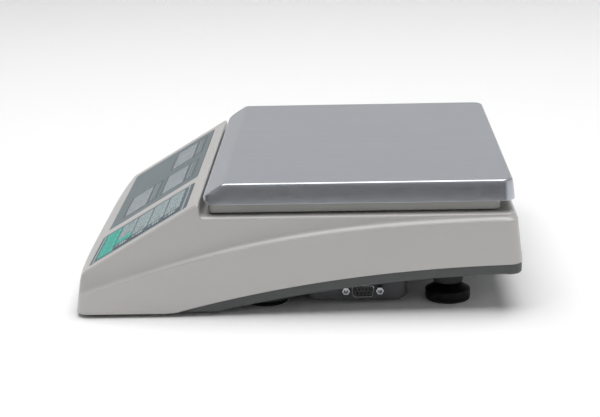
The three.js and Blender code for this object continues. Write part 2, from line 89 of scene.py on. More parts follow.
# The control panel's plane: x across, s up the slope, n out of the surface.
PANEL_Y, PANEL_Z = -157, 32.8
PANEL_TILT = math.atan(0.5944)
PANEL_COS, PANEL_SIN = math.cos(PANEL_TILT), math.sin(PANEL_TILT)
PANEL_THICKNESS = 4.65  # measured upright

# The rear wall's plane at the sockets: its tilt, and the (y, z) of the fittings' centres.
REAR_TILT = math.atan(3.5 / 31.5)
FITTING = (161.556, 56)
JACK_X, SWITCH_X = -112, -84

# Base. The battery and port compartment hangs below the tray.
BASE_INSET, BASE_REAR_INSET = 3.6, 1.4
BASE_LAP, BASE_EDGE = 6, 2.4  # its reach up inside the housing, and its edge radius
BAY_X0, BAY_X1, BAY_Y0, BAY_Y1 = 14, 131, 6, 81
BAY_Z = COVER_LOW.z
BAY_EDGE, BAY_WALL = 5.6, 2.6
BATTERY_X0, BATTERY_X1, PORT_X0 = 20.2, 113.4, 115.8  # the rooms in it along x
PORT_Y, PORT_Z = 47.9, 11.9
PORT_HALF_Y, PORT_HALF_Z = 8.6, 4.6
LEVEL = (75, 124)
HUB = (-16, 16, -24, 8)  # the carrier's hub: x0, x1, y0, y1
FOOT_HOLE = 4.3
POCKET_INNER, POCKET_OUTER, POCKET_ROOF = 19.5, 22, 13.5

# Clearance round a piece in its opening.
GAP = 0.3

# The photo's camera as fitted, in metres: its place, and where its picture's right and top point.
CAMERA_PLACE = Vector((1.2985, 0.0408, 0.3778))
CAMERA_RIGHT = Vector((-0.026748, 0.99939, -0.022451))
CAMERA_UP = Vector((-0.252318, 0.014982, 0.967539))
CAMERA_LENS, CAMERA_SENSOR = 98.97, 36  # in millimetres

# ---- curves ----

def height_along(points):
    """z as a function of y, straight between the given points and level beyond them."""
    def height(y):
        for (y0, z0), (y1, z1) in zip(points, points[1:]):
            if y <= y1:
                return z0 + (z1 - z0) * max(0, (y - y0) / (y1 - y0))
        return points[-1][1]
    return height


def bezier(controls, count=48):
    """Points of a Bezier curve of any order."""
    points = []
    for i in range(count + 1):
        level = [Vector(c) for c in controls]
        while len(level) > 1:
            level = [a.lerp(b, i / count) for a, b in zip(level, level[1:])]
        points.append(tuple(level[0]))
    return points


def lerp(low, high, share):
    return low + (high - low) * share


def panel_line(y):
    return PANEL_Z + (y - PANEL_Y) * math.tan(PANEL_TILT)


crease = height_along(bezier([(-END, 12.4), (-60, 47.6), (-5, 68), (END, 69.2)]))
arch = height_along([(-END, 2.5)] + bezier([(-91.2, 2.5), (31, 35.4), (END, 36.5)]))
belly = height_along([(-END, 2)] + bezier([(-60, 2), (56, 27.5), (END, 28.2)]))

# The ridge where the panel ends, and its underside.
RIDGE = [(-73.0, panel_line(-73.0)), (-71.9, 83.3), (-70.9, 83.4), (-70.2, 82.9), (-69.9, 82.0),
         (-69.6, 76.2), (-69.2, 74.9), (-68.4, 74), (-67.0, DECK_Z)]
top = height_along([(-END, panel_line(-END))] + RIDGE + [(END, DECK_Z)])
UNDER_RIDGE = [(-72.9, panel_line(-72.9) - PANEL_THICKNESS), (-72.3, DECK_Z - WALL)]
under_top = height_along(
    [(-END, panel_line(-END) - PANEL_THICKNESS)] + UNDER_RIDGE + [(END, DECK_Z - WALL)])

# The ledge over the crease: its width along the scale, and its (inward, upward) profile.
ledge_width = height_along([(-160, 3.6), (-75, 4.4), (50, 4.8), (END, 4.8)])
LEDGE = bezier([(0, 0), (0.45, 0), (1, 0.6), (1, 1)], 8)[1:]

# ---- mesh code ----
# A shape is (vertices in millimetres, faces).


def moved(shape, place):
    return [place(*v) for v in shape[0]], shape[1]


def on_panel(x, s, n):
    return (x, PANEL_Y + s * PANEL_COS - n * PANEL_SIN, PANEL_Z + s * PANEL_SIN + n * PANEL_COS)


def on_rear(centre_x):
    """Places x across, y up the wall and z out of it on the rear wall."""
    c, s = math.cos(REAR_TILT), math.sin(REAR_TILT)
    return lambda x, y, z: (centre_x - x, FITTING[0] + z * c - y * s, FITTING[1] + y * c + z * s)


def at(dx, dy, dz=0):
    return lambda x, y, z: (x + dx, y + dy, z + dz)


def steps(first, last, count):
    return [first + (last - first) * i / count for i in range(count + 1)]


def loft(rings, ends=True, around=False):
    """Quads between rings of equal length, with flat ends, or closed from the last to the first."""
    count = len(rings[0])
    verts = [p for ring in rings for p in ring]
    faces = []
    for k in range(len(rings) if around else len(rings) - 1):
        a, b = k * count, (k + 1) % len(rings) * count
        faces += [(a + i, a + (i + 1) % count, b + (i + 1) % count, b + i) for i in range(count)]
    if ends and not around:
        faces += [tuple(range(count)), tuple(range(len(verts) - count, len(verts)))]
    return verts, faces


def rounded(corners, radius, count=5):
    """Outline of a convex anticlockwise polygon with round corners, as a function of its inset."""
    def outline(inset=0.0):
        r = max(radius - inset, 0.03)
        points = []
        for i, corner in enumerate(corners):
            a, b, c = Vector(corners[i - 1]), Vector(corner), Vector(corners[(i + 1) % len(corners)])
            into, out = (b - a).normalized(), (c - b).normalized()
            n0, n1 = Vector((into.y, -into.x)), Vector((out.y, -out.x))
            middle = (n0 + n1).normalized()
            centre = b - middle * ((inset + r) / middle.dot(n0))
            start = math.atan2(n0.y, n0.x)
            sweep = n0.angle_signed(n1) * -1
            points += [(centre.x + r * math.cos(t), centre.y + r * math.sin(t))
                       for t in steps(start, start + sweep, count)]
        return points
    return outline


def rounded_rect(x0, x1, y0, y1, radius, count=5):
    return rounded([(x0, y0), (x1, y0), (x1, y1), (x0, y1)], radius, count)


def plate(outline, z0, z1, edge=0.3, low_edge=None, count=3):
    """A prism with round upper and lower edges."""
    low = edge if low_edge is None else low_edge
    rings = []
    for t in steps(0, math.pi / 2, count):
        inset = low * (1 - math.sin(t))
        rings.append([(x, y, z0 + low * (1 - math.cos(t))) for x, y in outline(inset)])
    for t in steps(0, math.pi / 2, count):
        inset = edge * (1 - math.cos(t))
        rings.append([(x, y, z1 - edge * (1 - math.sin(t))) for x, y in outline(inset)])
    return loft(rings)


def block(x0, x1, y0, y1, z0, z1, radius=0.6, edge=0.4):
    return plate(rounded_rect(x0, x1, y0, y1, radius, 3), z0, z1, edge)


def lathe(profile, sides=64, twist=None):
    """A closed (radius, z) loop turned about Z. Radius 0 at both ends makes a solid."""
    rings = []
    for j in range(sides):
        c, s = math.cos(2 * math.pi * j / sides), math.sin(2 * math.pi * j / sides)
        loop = [twist(r, z, j / sides) for r, z in profile] if twist else profile
        rings.append([(r * c, r * s, z) for r, z in loop])
    return loft(rings, around=True)


def peg(radius, z0, z1, sides=64):
    """A plain round bar, for cutting holes."""
    return lathe([(0, z0), (radius, z0), (radius, z1), (0, z1)], sides)


def smooth_profile(points, count=4):
    """Rounds the corners of a profile. A point is (radius, z) or (radius, z, corner radius)."""
    result = []
    for i, point in enumerate(points):
        if len(point) < 3 or i in (0, len(points) - 1):
            result.append(point[:2])
            continue
        b = Vector(point[:2])
        a, c = Vector(points[i - 1][:2]), Vector(points[i + 1][:2])
        reach = min(point[2], (a - b).length * 0.48, (c - b).length * 0.48)
        start, end = b + (a - b).normalized() * reach, b + (c - b).normalized() * reach
        result += [tuple(start.lerp(b, t).lerp(b.lerp(end, t), t)) for t in steps(0, 1, count)]
    return result


def closed(shape):
    """The shape with its repeated points joined and its faces turned outwards."""
    bm = bmesh.new()
    points = [bm.verts.new(p) for p in shape[0]]
    for face in shape[1]:
        bm.faces.new([points[i] for i in face])
    bmesh.ops.remove_doubles(bm, verts=bm.verts, dist=2e-4)
    bmesh.ops.dissolve_degenerate(bm, edges=bm.edges, dist=1e-4)
    bmesh.ops.delete(bm, geom=[e for e in bm.edges if not e.link_faces], context="EDGES")
    bmesh.ops.recalc_face_normals(bm, faces=bm.faces)
    bm.verts.index_update()
    result = [tuple(v.co) for v in bm.verts], [tuple(v.index for v in f.verts) for f in bm.faces]
    bm.free()
    return result


def joined(shapes):
    """Several shapes as one, for a single cut."""
    verts, faces = [], []
    for points, polygons in shapes:
        faces += [tuple(len(verts) + i for i in f) for f in polygons]
        verts += points
    return verts, faces


def make_mesh(name, shapes):
    """One mesh from (shape, material) pairs, each shape closed by itself."""
    finishes = list(dict.fromkeys(finish for _, finish in shapes))
    verts, faces, indices = [], [], []
    for shape, finish in shapes:
        points, polygons = closed(shape)
        start = len(verts)
        verts += [Vector(p) * MM for p in points]
        faces += [tuple(start + i for i in f) for f in polygons]
        indices += [finishes.index(finish)] * len(polygons)
    mesh = bpy.data.meshes.new(name)
    mesh.from_pydata(verts, [], faces)
    mesh.polygons.foreach_set("material_index", indices)
    for finish in finishes:
        mesh.materials.append(finish)
    return mesh


def new_object(name, data):
    obj = bpy.data.objects.new(name, data)
    scene.collection.objects.link(obj)
    return obj


def apply_modifiers(obj):
    """Replaces the object's mesh by what its modifiers make of it."""
    graph = bpy.context.evaluated_depsgraph_get()
    result = bpy.data.meshes.new_from_object(obj.evaluated_get(graph))
    obj.modifiers.clear()
    old = obj.data
    obj.data = result
    bpy.data.meshes.remove(old)


def cut(obj, cutters):
    """Takes the cutters' shapes out of the object's mesh."""
    for cutter in cutters:
        tool = new_object("cutter", make_mesh("cutter", [(cutter, obj.data.materials[0])]))
        modifier = obj.modifiers.new("cut", "BOOLEAN")
        modifier.object = tool
        modifier.solver = "MANIFOLD"
        apply_modifiers(obj)
        bpy.data.objects.remove(tool)


def soften(obj, angle=38):
    """Smooth shading with sharp edges kept, weighted by face area."""
    obj.data.shade_smooth()
    obj.data.set_sharp_from_angle(angle=math.radians(angle))
    weighted = obj.modifiers.new("normals", "WEIGHTED_NORMAL")
    weighted.keep_sharp = True
    weighted.weight = 80


def piece(name, shapes, body="root", nodes=(), cutters=(), angle=38):
    """A finished piece: its mesh, its cuts, its shading, its body and the CAD nodes it stands for."""
    obj = new_object(name, make_mesh(name, shapes))
    cut(obj, cutters)
    soften(obj, angle)
    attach(obj, body)
    if nodes:
        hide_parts(*nodes)
    return obj


# ---- materials ----

def linear(colour):
    """0 to 255 as shown on a screen, to linear light."""
    parts = [c / 255 for c in colour]
    return [c / 12.92 if c <= 0.04045 else ((c + 0.055) / 1.055) ** 2.4 for c in parts] + [1]


def set_inputs(node, values):
    for socket, value in values.items():
        node.inputs[socket].default_value = value


def surface(name, colour, roughness, metallic=0.0, mottle=0.04, mottle_scale=25.0, grain=0.1,
            grain_scale=900.0, stretch=(1, 1, 1), coat=0.0, alpha=1.0, specular=0.5):
    """A finish with uneven colour and roughness and a fine grain."""
    made = bpy.data.materials.new(name)
    made.use_nodes = True
    nodes, links = made.node_tree.nodes, made.node_tree.links
    shader = nodes["Principled BSDF"]
    place = nodes.new("ShaderNodeTexCoord").outputs["Object"]
    scaled = nodes.new("ShaderNodeMapping")
    set_inputs(scaled, {"Scale": stretch})
    links.new(place, scaled.inputs["Vector"])

    def noise(scale, detail):
        made_noise = nodes.new("ShaderNodeTexNoise")
        set_inputs(made_noise, {"Scale": scale, "Detail": detail})
        links.new(scaled.outputs["Vector"], made_noise.inputs["Vector"])
        return made_noise.outputs["Fac"]

    def spread(value, low, high):
        ranged = nodes.new("ShaderNodeMapRange")
        set_inputs(ranged, {"From Min": 0.3, "From Max": 0.7, "To Min": low, "To Max": high})
        links.new(value, ranged.inputs["Value"])
        return ranged.outputs["Result"]

    wide, fine = noise(mottle_scale, 4), noise(grain_scale, 2)
    base = linear(colour)
    mix = nodes.new("ShaderNodeMix")
    mix.data_type = "RGBA"
    set_inputs(mix, {"A": [c * (1 - mottle) for c in base[:3]] + [1],
                     "B": [min(1, c * (1 + mottle)) for c in base[:3]] + [1]})
    links.new(spread(wide, 0, 1), mix.inputs["Factor"])
    links.new(mix.outputs["Result"], shader.inputs["Base Color"])
    links.new(spread(fine, roughness * 0.9, min(1, roughness * 1.1)), shader.inputs["Roughness"])
    bump = nodes.new("ShaderNodeBump")
    set_inputs(bump, {"Strength": grain, "Distance": 0.1 * MM})
    links.new(fine, bump.inputs["Height"])
    links.new(bump.outputs["Normal"], shader.inputs["Normal"])
    set_inputs(shader, {"Metallic": metallic, "Coat Weight": coat, "Alpha": alpha,
                        "Specular IOR Level": specular})
    return made


LIGHT_PLASTIC = surface("light_plastic", (180, 178, 176), 0.34, grain=0.22, mottle=0.015, specular=1.0)
DARK_PLASTIC = surface("dark_plastic", (80, 82, 82), 0.55, grain=0.3)
# The foot bosses and pockets are the base's plastic painted darker than it: painted shade for where they
# sit under the scale.
BOSS_PLASTIC_PAINTED_SHADE = surface("boss_plastic_painted_shade", (56, 58, 58), 0.6, grain=0.3, specular=0.2)
BAY_PLASTIC = surface("bay_plastic", (72, 73, 76), 0.5, grain=0.3)
BLACK_PLASTIC = surface("black_plastic", (16, 16, 17), 0.4, grain=0.15)
CARRIER_PLASTIC = surface("carrier_plastic", (165, 165, 161), 0.5, grain=0.25)
STAINLESS = surface("stainless", (190, 194, 201), 0.33, 1.0, mottle=0.02, mottle_scale=9,
                    grain=0.05, grain_scale=260, stretch=(14, 1, 1))
BRIGHT_STEEL = surface("bright_steel", (185, 187, 190), 0.25, 1.0, grain=0.05)
DARK_STEEL = surface("dark_steel", (74, 76, 78), 0.45, 0.6, grain=0.08)
ZINC = surface("zinc_steel", (168, 170, 174), 0.4, 1.0, mottle=0.12, mottle_scale=160)
ALUMINIUM = surface("aluminium", (190, 192, 195), 0.38, 1.0, grain=0.08, stretch=(1, 12, 1))
RUBBER = surface("rubber", (22, 22, 22), 0.85, grain=0.3, grain_scale=1600)
FOOT_PLASTIC = surface("foot_plastic", (5, 5, 5), 0.5, grain=0.12, specular=0.2)
PRINTED_SHEET = surface("printed_sheet", (98, 111, 115), 0.35, mottle=0.02, grain=0.01, specular=0.1)
# The windows' clear sheet is drawn pale and mostly opaque with little shine: a painted reflection of the
# glare on the clear plastic, with a little of the LCD showing through.
CLEAR_SHEET_PAINTED_GLARE = surface("clear_sheet_painted_glare", (144, 154, 161), 0.25, alpha=0.8, grain=0.01, specular=0.2)
PRINT_DARK = surface("print_dark", (64, 76, 84), 0.4, grain=0.02, specular=0.2)
PRINT_TINT = surface("print_tint", (96, 108, 114), 0.4, grain=0.02, specular=0.2)
PRINT_LIGHT = surface("print_light", (166, 176, 178), 0.4, grain=0.02, specular=0.2)
LCD_FACE = surface("lcd_face", (158, 168, 174), 0.22, mottle=0.015, coat=0.3, grain=0.01)
LCD_SEGMENT = surface("lcd_segment", (112, 122, 128), 0.25, grain=0.01)
LCD_FRAME = surface("lcd_frame", (70, 76, 80), 0.5)
OVERLAY = surface("overlay", (86, 99, 106), 0.45, grain=0.15, specular=0.2)
KEY_GREY = surface("key_grey", (150, 164, 167), 0.45, grain=0.15, specular=0.2)
KEY_GREEN = surface("key_green", (60, 176, 160), 0.45, grain=0.15, specular=0.2)
KEY_DARK = surface("key_dark", (84, 96, 104), 0.45, grain=0.15, specular=0.2)
LEGEND_DARK = surface("legend_dark", (84, 98, 106), 0.5)
LEGEND_LIGHT = surface("legend_light", (190, 200, 203), 0.5)
LEGEND_GREEN = surface("legend_green", (38, 120, 108), 0.5)
BOARD = surface("circuit_board", (34, 92, 58), 0.4, mottle=0.15, mottle_scale=300, coat=0.3)
BATTERY_CASE = surface("battery_case", (52, 54, 58), 0.5, grain=0.2)
VIAL_BODY = surface("vial_body", (225, 228, 228), 0.3)
VIAL_LIQUID = surface("vial_liquid", (176, 214, 72), 0.08, coat=1.0, grain=0.0)
VIAL_BUBBLE = surface("vial_bubble", (232, 244, 190), 0.05, coat=1.0, grain=0.0)

# ---- bodies made of rings ----

def half_plan(half, front, rear, radius, stations, bow=0.0):
    """Right half of a rounded rectangular plan, from the middle of the front to the middle of the
    rear, as (x, y, normal x, normal y). A bowed front stands out by bow in the middle."""
    span = half - radius
    points = []
    for x in steps(0, span, 10)[:-1]:
        points.append((x, front - bow * (1 - (x / span) ** BOW_POWER), 0, -1))
    for t in steps(-math.pi / 2, 0, 9):
        c, s = math.cos(t), math.sin(t)
        points.append((span + radius * c, front + radius + radius * s, c, s))
    points += [(half, y, 1, 0) for y in stations]
    for t in steps(0, math.pi / 2, 9):
        c, s = math.cos(t), math.sin(t)
        points.append((span + radius * c, rear - radius + radius * s, c, s))
    points += [(x, rear, 0, 1) for x in steps(span, 0, 6)[1:]]
    return points


def ring(plan, side, front, rear, height):
    """A closed ring round the plan. side, front and rear are outward offsets: side a number or
    a function of y, front and rear numbers. height gives z from the moved y and the normal's y."""
    right = []
    for x, y, nx, ny in plan:
        along = front if ny < 0 else rear
        value = (side(y) if callable(side) else side) * nx * nx + along * ny * ny
        px, py = x + nx * value, y + ny * value
        right.append((px, py, height(py, ny)))
    left = [(-x, y, z) for x, y, z in reversed(right[1:-1])]
    return right + left


def bridge(start, count):
    """Faces across a ring that starts at a vertex number, between its mirrored points."""
    half = count // 2
    faces = [(start, start + 1, start + count - 1)]
    for i in range(1, half - 1):
        faces.append((start + i, start + i + 1, start + count - i - 1, start + count - i))
    faces.append((start + half - 1, start + half, start + half + 1))
    return faces


def shell(outer, inner):
    """A closed tray or lid: outer rings from the open rim to the closed face, and inner rings
    back to the rim."""
    rings = outer + inner
    count = len(outer[0])
    verts, faces = loft(rings, ends=False)
    last_outer = (len(outer) - 1) * count
    skipped = set(range(last_outer, last_outer + count))
    faces = [f for f in faces if not (f[0] in skipped and f[3] >= last_outer + count)]
    faces += bridge(last_outer, count) + bridge(last_outer + count, count)
    last = (len(rings) - 1) * count
    for i in range(count):
        j = (i + 1) % count
        faces.append((i, j, last + j, last + i))
    return verts, faces


def between(low, high, share):
    """A height function, at a share of the way from one curve to another."""
    return lambda y, ny=0: lerp(low(y), high(y), share)


# ---- upper housing ----

def rear_offset(z):
    """How far the rear wall stands from y = REAR_Y at height z."""
    if z <= REAR_EDGE_Z:
        return (REAR_EDGE_Z - z) * math.tan(REAR_TILT)
    return -(z - REAR_EDGE_Z) * (REAR_Y - REAR_EDGE_Y) / (DECK_Z - REAR_EDGE_Z)


def front_offset(z):
    """How far the front wall leans back at height z."""
    return -FRONT_LEAN * max(0, min(1, (z - LEAN_FROM) / (LEAN_TO - LEAN_FROM)))


def ledge_height(y):
    return min(0.85 * ledge_width(y), 0.7 * (top(y) - crease(y)))


def ledge_top(y):
    return crease(y) + ledge_height(y)


def edge_radius(y):
    return min(EDGE_RADIUS, 0.95 * (top(y) - ledge_top(y)))


def wall_top(y, ny):
    """Where the side or front wall starts to turn into the panel or the deck."""
    radius = edge_radius(y)
    return top(y) - (radius + (FRONT_RADIUS - radius) * ny * ny if ny < 0 else radius)


def lean_top(y):
    """Height of the point where the wall above the ledge has leaned in fully."""
    return min(ledge_top(y) + LEAN_HEIGHT, wall_top(y, 0))


def lean(y):
    """How far the side wall has leaned in at lean_top."""
    return lerp(ledge_width(y), LEAN, (lean_top(y) - ledge_top(y)) / LEAN_HEIGHT)


def offsets(height):
    """The front and rear walls' offsets at a height that is a function of y."""
    return front_offset(height(FRONT_Y)), rear_offset(height(REAR_Y))


def housing_shape():
    stations = sorted(
        list(range(-145, -75, 7)) + [y for y, _ in RIDGE] + [y for y, _ in UNDER_RIDGE]
        + list(range(-64, 146, 7)))
    plan = half_plan(HALF_WIDTH, FRONT_Y, REAR_Y, PLAN_RADIUS, stations, FRONT_BOW)
    low_rear = rear_offset(arch(REAR_Y))
    deck_rear = rear_offset(DECK_Z - edge_radius(REAR_Y - PLAN_RADIUS))
    outer = []
    for inset, rise in ((1.0, 0.0), (0.45, 0.1), (0.12, 0.4), (0.0, 0.9)):
        outer.append(ring(plan, -inset, -inset, low_rear - inset, lambda y, ny: arch(y) + rise))
    for share in (0.35, 0.7, 1.0):
        height = between(arch, crease, share)
        outer.append(ring(plan, 0, *offsets(height), height))
    for inward, rise in LEDGE:
        height = between(crease, ledge_top, rise)
        outer.append(ring(plan, lambda y: -ledge_width(y) * inward, *offsets(height), height))
    outer.append(ring(plan, lambda y: -lean(y), *offsets(lean_top),
                      lambda y, ny: min(lean_top(y), wall_top(y, ny))))
    for t in steps(0, math.pi / 2, 6):
        inward, rise = 1 - math.cos(t), math.sin(t)
        outer.append(ring(
            plan, -LEAN - EDGE_RADIUS * inward, -FRONT_LEAN - FRONT_RADIUS * inward,
            deck_rear - REAR_EDGE_INSET * inward,
            lambda y, ny: lerp(wall_top(y, ny), top(y), rise)))
    # The inside, from the top down. It is rounder under the panel and the deck.
    inner = [
        ring(plan, -LEAN - WALL - 2, -FRONT_LEAN - WALL - 3, -WALL - 1.5, lambda y, ny: under_top(y)),
        ring(plan, -LEAN - WALL, -FRONT_LEAN - WALL, -WALL,
             lambda y, ny: min(under_top(y), crease(y)) - 3),
        ring(plan, -WALL, -WALL, low_rear - WALL, lambda y, ny: (arch(y) + crease(y)) / 2 - 2),
        ring(plan, -WALL, -WALL, low_rear - WALL, lambda y, ny: arch(y)),
    ]
    return shell(outer, inner)


def panel_extent(node):
    """A CAD node's box in the panel's own plane: (x0, x1, s0, s1, n0, n1)."""
    points = []
    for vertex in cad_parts[node].data.vertices:
        x, y, z = vertex.co / MM
        y, z = y - PANEL_Y, z - PANEL_Z
        points.append((x, y * PANEL_COS + z * PANEL_SIN, z * PANEL_COS - y * PANEL_SIN))
    return [f(p[axis] for p in points) for axis in range(3) for f in (min, max)]


FIELDS = {name: panel_extent(name) for name in ("display_window", "keypad_overlay")}
LCDS = {name: panel_extent(name) for name in ("lcd_weight", "lcd_unit_weight", "lcd_count")}
FIELD_RADIUS = 3


def pocket(field, depth):
    """A cutter for a recess in the panel, with a round rim."""
    x0, x1, s0, s1 = field[:4]
    rim = 0.7
    outline = rounded_rect(x0 - GAP, x1 + GAP, s0 - GAP, s1 + GAP, FIELD_RADIUS, 6)
    rings = [[(x, s, -depth) for x, s in outline(0)]]
    for t in steps(0, math.pi / 2, 4):
        rings.append([(x, s, -rim * (1 - math.sin(t)))
                      for x, s in outline(-rim * (1 - math.cos(t)))])
    rings.append([(x, s, 3) for x, s in outline(-rim - 0.6)])
    return moved(loft(rings), on_panel)


def lcd_opening(field):
    x0, x1, s0, s1 = field[:4]
    outline = rounded_rect(x0 - GAP, x1 + GAP, s0 - GAP, s1 + GAP, 0.6, 2)
    return moved(plate(outline, -9, 1, SHARP), on_panel)


piece(
    "housing_shell", [(housing_shape(), LIGHT_PLASTIC)],
    nodes=["upper_housing"], angle=32,
    cutters=[
        pocket(FIELDS["display_window"], 1.5), pocket(FIELDS["keypad_overlay"], 2.3),
        *[lcd_opening(field) for field in LCDS.values()],
        plate(rounded_rect(*HUB, 3), DECK_Z - 6, DECK_Z + 6, SHARP),
        moved(peg(8.4, -6, 6, 48), at(*LEVEL, DECK_Z)),
        moved(peg(5.1, -9, 9, 48), on_rear(JACK_X)),
        moved(plate(rounded_rect(-6.7, 6.7, -9.7, 9.7, 1), -9, 9, SHARP), on_rear(SWITCH_X)),
    ])

# ---- base ----

def base_shape():
    stations = list(range(-145, 146, 6))
    plan = half_plan(HALF_WIDTH, FRONT_Y, REAR_Y, PLAN_RADIUS, stations, FRONT_BOW)
    low_rear = rear_offset(belly(REAR_Y)) - BASE_REAR_INSET

    def wall(inset, rear_inset, height):
        return ring(plan, -BASE_INSET - inset, -BASE_INSET - inset, low_rear - rear_inset, height)

    outer = [wall(0, 0, lambda y, ny: arch(y) + BASE_LAP),
             wall(0, 0, lambda y, ny: arch(y) - 0.5)]
    for t in steps(0, math.pi / 2, 6):
        inward, drop = 1 - math.cos(t), 1 - math.sin(t)
        outer.append(wall(BASE_EDGE * inward, BASE_EDGE * inward, lambda y, ny: (
            belly(y) + min(BASE_EDGE, 0.9 * (arch(y) - belly(y) + 1)) * drop)))
    inner = [wall(WALL + 1, WALL + 1, lambda y, ny: belly(y) + WALL),
             wall(WALL, WALL, lambda y, ny: belly(y) + WALL + 1),
             wall(WALL, WALL, lambda y, ny: arch(y) + BASE_LAP)]
    return shell(outer, inner)


def foot_centre(name):
    low, high = FEET[name]
    return ((low.x + high.x) / 2, (low.y + high.y) / 2)


def foot_opening(name):
    """A hole through the tray for a rear foot's stud or for a front foot's pocket."""
    radius = POCKET_INNER + 1 if name.startswith("front") else FOOT_HOLE + 0.1
    return moved(peg(radius, -8, 34), at(*foot_centre(name)))


bay_opening = rounded_rect(BAY_X0 + 2, BAY_X1 - 2, BAY_Y0 + 2, BAY_Y1 - 2, 5)
piece("base_tray", [(base_shape(), DARK_PLASTIC)], nodes=["lower_base"], angle=34,
      cutters=[plate(bay_opening, -5, 60, SHARP), *[foot_opening(foot) for foot in FEET]])


def bay_shape():
    """The compartment's block with a generous lower edge, tighter at the cover's end."""
    outline = rounded_rect(BAY_X0, BAY_X1, BAY_Y0, BAY_Y1, 7, 8)
    rings = []
    for t in steps(0, math.pi / 2, 8):
        points = []
        for (x, y), (ix, iy) in zip(outline(0), outline(BAY_EDGE * (1 - math.sin(t)))):
            share = min(1.0, max(0.12, (x - BAY_X0) / 12))
            points.append((lerp(x, ix, share * 0.2), lerp(y, iy, share),
                           BAY_Z + BAY_EDGE * (1 - math.cos(t))))
        rings.append(points)
    # The block ends inside the tray, which is higher at the rear.
    rings.append([(x, y, 25 if y > 40 else 17) for x, y in outline(0)])
    return loft(rings)


def cover_section(spread, bottom=0.0):
    """The cover's T section in (y, z), with a tongue along each side."""
    y0, y1, tongue, step, roof = 12.5, 74.5, 1.6, 4.6, 5.3
    a0, a1, b0, b1 = y0 - spread, y1 + spread, y0 - tongue - spread, y1 + tongue + spread
    low, rail = BAY_Z - bottom, step - spread
    return [(a0, low), (a1, low), (a1, rail), (b1, rail), (b1, roof + spread),
            (b0, roof + spread), (b0, rail), (a0, rail)]


def prism_x(section, x0, x1):
    """A bar along X with a section given in (y, z)."""
    return loft([[(x, y, z) for y, z in section] for x in (x0, x1)])


bay_rooms = [
    block(x0, x1, BAY_Y0 + BAY_WALL, BAY_Y1 - BAY_WALL, BAY_Z + WALL + step, 40, 1, SHARP)
    for x0, x1, step in ((BATTERY_X0, BATTERY_X1, 0), (PORT_X0, BAY_X1 - WALL, 0.5))]
cover_slot = prism_x(cover_section(GAP, 1), BAY_X0 - 2, COVER_HIGH.x + GAP)
port_opening = block(BAY_X1 - 6, BAY_X1 + 3, PORT_Y - PORT_HALF_Y, PORT_Y + PORT_HALF_Y,
                     PORT_Z - PORT_HALF_Z, PORT_Z + PORT_HALF_Z, 0.5, SHARP)
piece("base_bay", [(bay_shape(), BAY_PLASTIC)], nodes=["lower_base"], angle=34,
      cutters=[*bay_rooms, cover_slot, port_opening])

boss_profile = smooth_profile([
    (FOOT_HOLE, 31), (FOOT_HOLE, 13.5), (10.5, 13.5, 0.8), (11.6, 16, 1.2), (13.2, 24, 4),
    (17.5, 28.6, 2), (17.5, 31)], 5)
pocket_profile = smooth_profile([
    (FOOT_HOLE, 17), (FOOT_HOLE, POCKET_ROOF), (POCKET_INNER, POCKET_ROOF, 1.5),
    (POCKET_INNER, 5, 0.5), (POCKET_OUTER, 5, 0.8), (POCKET_OUTER, 17)], 4)
for side, name, profile in (("rear", "rear_foot_bosses", boss_profile),
                            ("front", "front_foot_pockets", pocket_profile)):
    shapes = [moved(lathe(profile), at(*foot_centre(foot))) for foot in FEET if foot.startswith(side)]
    piece(name, [(shape, BOSS_PLASTIC_PAINTED_SHADE) for shape in shapes], nodes=["lower_base"])

# ---- battery cover ----

cover_grips = []
for i in range(6):
    grip_x = COVER_LOW.x + 8 + 3 * i
    cover_grips.append(block(grip_x, grip_x + 1.4, 30, 57, BAY_Z - 0.25, BAY_Z + 0.45, 0.5, 0.25))
piece("battery_cover_plate", [(prism_x(cover_section(0), COVER_LOW.x, COVER_HIGH.x), BAY_PLASTIC)],
      "battery_cover", ["battery_cover"], cutters=cover_grips)

# ---- feet ----

STUD_RADIUS = 4
THREAD_PITCH, THREAD_DEPTH = 1.25, 0.55
THREAD_Z0, THREAD_Z1 = 13, 33


def thread(radius, z, turn):
    """Cuts a screw thread into the stud above the disc."""
    if radius != STUD_RADIUS or not THREAD_Z0 < z < THREAD_Z1:
        return radius, z
    share = (z / THREAD_PITCH - turn) % 1
    return radius - THREAD_DEPTH * abs(2 * share - 1), z


disc_profile = smooth_profile([
    (0, 2.0), (16.2, 2.0, 0.2), (16.7, 2.5, 0.3), (16.7, 8.2, 0.7), (10.4, 11.8, 1.2),
    (STUD_RADIUS, 12.3, 0.5), (STUD_RADIUS, THREAD_Z0)], 4)
disc_profile += [(STUD_RADIUS, z) for z in steps(THREAD_Z0 + 0.2, THREAD_Z1, 64)]
disc_profile += [(3.2, 34), (0, 34)]
sole_profile = smooth_profile([(0, 0), (15.9, 0, 0.4), (16.3, 0.6, 0.3), (16.3, 1.7, 0.2), (0, 1.7)], 3)
for foot in FEET:
    place = at(*foot_centre(foot))
    piece("foot_" + foot + "_disc", [(moved(lathe(disc_profile, 72, thread), place), FOOT_PLASTIC)],
          "foot_" + foot, ["foot_" + foot])
    piece("sole_" + foot + "_pad", [(moved(lathe(sole_profile, 72), place), RUBBER)],
          "sole_" + foot, ["sole_" + foot])

# ---- pan and carrier ----

PAN_TOP = PAN_HIGH.z
PAN_FRONT = PAN_LOW.y
PAN_BEND = [(PAN_FRONT, 87.7), (-54.2, 95.75), (-52.6, 96.6), (-51, 97), (-49.2, PAN_TOP)]
pan_top = height_along(PAN_BEND + [(END, PAN_TOP)])


